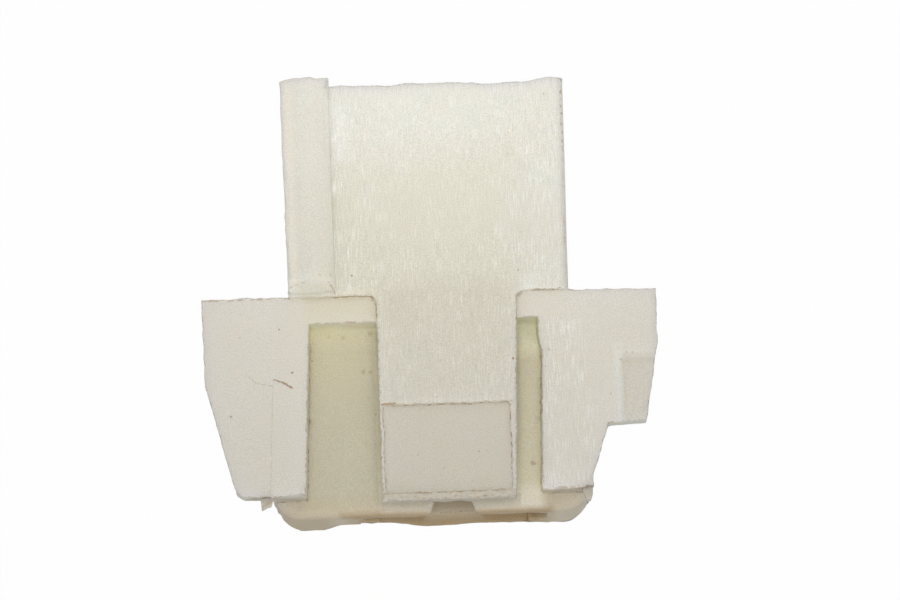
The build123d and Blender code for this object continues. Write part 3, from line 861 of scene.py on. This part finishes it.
class CONNECTOR_OT_mould_housing(bpy.types.Operator):
    """Make the housing's moulded surface in natural nylon"""

    bl_idname = "connector.mould_housing"
    bl_label = "Mould Housing"

    def execute(self, context):
        settings = context.scene.connector_housing
        mesh = join_facets(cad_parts["housing"])
        round_edges(mesh, settings.edge_radius)
        cut_grid(mesh, settings.grid_step)
        tip_low = Vector((ARM_LEFT - 0.1 * MM, ARM_TIP - 0.1 * MM, MAIN_FACE - 0.5 * MM))
        tip_high = Vector((ARM_RIGHT, POCKET_TIP + 0.05 * MM, MAIN_FACE + 0.1 * MM))
        cut_grid(mesh, settings.grid_step / 4, tip_low, tip_high)
        mark_edges(mesh)
        warp_edges(mesh)
        roughen(mesh, settings)
        keep_inside(mesh, LOW, HIGH)
        if any(not edge.is_manifold for edge in mesh.edges):
            raise RuntimeError("the moulded surface is open")
        data = bpy.data.meshes.new("housing_moulding")
        mesh.to_mesh(data)
        mesh.free()
        for face in data.polygons:
            face.use_smooth = True
        sharpest_smooth = radians(42)
        data.set_sharp_from_angle(angle=sharpest_smooth)
        data.materials.append(natural_nylon(settings))
        piece = bpy.data.objects.new("housing_moulding", data)
        context.scene.collection.objects.link(piece)
        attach(piece, "root")
        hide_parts("housing")
        return {"FINISHED"}


def sliver(name, outline, low, high, settings):
    """A small piece of flash with a rounded rim between two heights, in natural nylon."""
    mesh = bmesh.new()
    foot = mesh.faces.new([mesh.verts.new((x * MM, y * MM, low)) for x, y in outline])
    raised = bmesh.ops.extrude_face_region(mesh, geom=[foot])["geom"]
    risen = [item for item in raised if isinstance(item, bmesh.types.BMVert)]
    bmesh.ops.translate(mesh, vec=(0, 0, high - low), verts=risen)
    bmesh.ops.recalc_face_normals(mesh, faces=mesh.faces)
    bmesh.ops.bevel(mesh, geom=mesh.edges[:], offset=settings.edge_radius * 0.6, segments=2,
                    profile=0.5, affect="EDGES", clamp_overlap=True)
    bmesh.ops.triangulate(mesh, faces=[face for face in mesh.faces if len(face.verts) > 4])
    keep_inside(mesh, LOW, HIGH)
    data = bpy.data.meshes.new(name)
    mesh.to_mesh(data)
    mesh.free()
    data.materials.append(natural_nylon(settings))
    piece = bpy.data.objects.new(name, data)
    bpy.context.scene.collection.objects.link(piece)
    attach(piece, "root")


class CONNECTOR_OT_add_flash(bpy.types.Operator):
    """Add the slivers of flash on the wings' ends"""

    bl_idname = "connector.add_flash"
    bl_label = "Add Flash"

    def execute(self, context):
        settings = context.scene.connector_housing
        for name, outline, low, high in FLASH:
            sliver(name, outline, low, high, settings)
        return {"FINISHED"}


def plain_white(name, colour, evenness):
    """A matt white that the camera sees as nearly even, with the shadow kept."""
    material = bpy.data.materials.new(name)
    material.use_nodes = True
    tree = material.node_tree
    tree.nodes.clear()
    path = tree.nodes.new("ShaderNodeLightPath")
    matt = place(tree, "ShaderNodeBsdfDiffuse", {"Color": opaque(colour)})
    glow = place(tree, "ShaderNodeEmission", {"Strength": 1.0})
    share = maths(tree, "MULTIPLY", path.outputs["Is Camera Ray"], evenness)
    mixed = place(tree, "ShaderNodeMixShader", {0: share, 1: matt.outputs[0], 2: glow.outputs[0]})
    surface = tree.nodes.new("ShaderNodeOutputMaterial")
    tree.links.new(mixed.outputs[0], surface.inputs["Surface"])
    return material


def add_lamp(name, location, aim, size, power, spread):
    """A soft rectangular lamp that faces a point, with its beam narrowed to spread."""
    lamp = bpy.data.lights.new(name, "AREA")
    lamp.shape = "RECTANGLE"
    lamp.size, lamp.size_y = size
    lamp.energy = power
    lamp.spread = spread
    holder = bpy.data.objects.new(name, lamp)
    holder.location = location
    holder.visible_camera = False
    holder.rotation_euler = (Vector(aim) - Vector(location)).to_track_quat("-Z", "Y").to_euler()
    bpy.context.scene.collection.objects.link(holder)


class CONNECTOR_OT_set_stage(bpy.types.Operator):
    """Set the floor, the light and the camera"""

    bl_idname = "connector.set_stage"
    bl_label = "Set Stage"

    def execute(self, context):
        settings = context.scene.connector_stage
        scene = context.scene
        scene.view_settings.view_transform = "Standard"

        mesh = bmesh.new()
        reach = 0.5
        corners = [mesh.verts.new((x, y, -0.02 * MM)) for x, y in
                   ((-reach, -reach), (reach, -reach), (reach, reach), (-reach, reach))]
        mesh.faces.new(corners)
        data = bpy.data.meshes.new("floor")
        mesh.to_mesh(data)
        mesh.free()
        data.materials.append(plain_white("floor_white", settings.floor_colour, 0.98))
        floor = bpy.data.objects.new("floor", data)
        scene.collection.objects.link(floor)

        world = bpy.data.worlds.new("soft_room")
        world.use_nodes = True
        tree = world.node_tree
        tree.nodes.clear()
        path = tree.nodes.new("ShaderNodeLightPath")
        room = place(tree, "ShaderNodeBackground",
                     {"Color": opaque(settings.sky_colour), "Strength": settings.sky_level})
        white = place(tree, "ShaderNodeBackground", {"Color": (1, 1, 1, 1), "Strength": 1.0})
        mixed = place(tree, "ShaderNodeMixShader",
                      {0: path.outputs["Is Camera Ray"], 1: room.outputs[0], 2: white.outputs[0]})
        surface = tree.nodes.new("ShaderNodeOutputWorld")
        tree.links.new(mixed.outputs[0], surface.inputs["Surface"])
        scene.world = world

        block = (0.0005, 0.012, MAIN_FACE)
        add_lamp("key", (0.0018, -0.012, 0.070), block, (0.012, 0.012),
                 settings.key_power, radians(70))
        add_lamp("sheen", (0.0, 0.022, 0.065), block, (0.016, 0.012),
                 settings.sheen_power, radians(120))
        mouth = (0, MATING_END, BACK_WALL)
        add_lamp("fill", (0.0, -0.06, 0.03), mouth, (0.04, 0.02),
                 settings.fill_power, radians(120))

        target = Vector((0.92 * MM, -0.42 * MM, MAIN_FACE))
        back = Vector((0, -cos(settings.elevation), sin(settings.elevation)))
        camera = bpy.data.cameras.new("camera")
        camera.lens = settings.lens
        camera.sensor_width = 36
        camera.clip_start = 0.01
        camera.clip_end = 10
        holder = bpy.data.objects.new("camera", camera)
        facing = (-back).to_track_quat("-Z", "Y").to_matrix().to_4x4()
        turned = Matrix.Rotation(-settings.roll, 4, "Z")
        moved = Matrix.Translation(target + back * settings.distance)
        holder.matrix_world = moved @ facing @ turned
        scene.collection.objects.link(holder)
        scene.camera = holder
        return {"FINISHED"}


class CONNECTOR_PT_panel(bpy.types.Panel):
    """Sizes and colours of the connector housing"""

    bl_idname = "CONNECTOR_PT_panel"
    bl_label = "Connector Housing"
    bl_space_type = "VIEW_3D"
    bl_region_type = "UI"
    bl_category = "Connector"

    def draw(self, context):
        column = self.layout.column()
        for settings in (context.scene.connector_housing, context.scene.connector_stage):
            for name in settings.__annotations__:
                column.prop(settings, name)
        for operator in OPERATORS:
            column.operator(operator.bl_idname)


OPERATORS = (CONNECTOR_OT_set_stage, CONNECTOR_OT_mould_housing, CONNECTOR_OT_add_flash)
CLASSES = (HousingSettings, StageSettings, *OPERATORS, CONNECTOR_PT_panel)


def register():
    for item in CLASSES:
        bpy.utils.register_class(item)
    bpy.types.Scene.connector_housing = bpy.props.PointerProperty(type=HousingSettings)
    bpy.types.Scene.connector_stage = bpy.props.PointerProperty(type=StageSettings)


def unregister():
    del bpy.types.Scene.connector_stage
    del bpy.types.Scene.connector_housing
    for item in reversed(CLASSES):
        bpy.utils.unregister_class(item)


def main():
    """Makes the whole scene."""
    register()
    bpy.ops.connector.set_stage()
    bpy.ops.connector.mould_housing()
    bpy.ops.connector.add_flash()


if __name__ == "__main__":
    main()
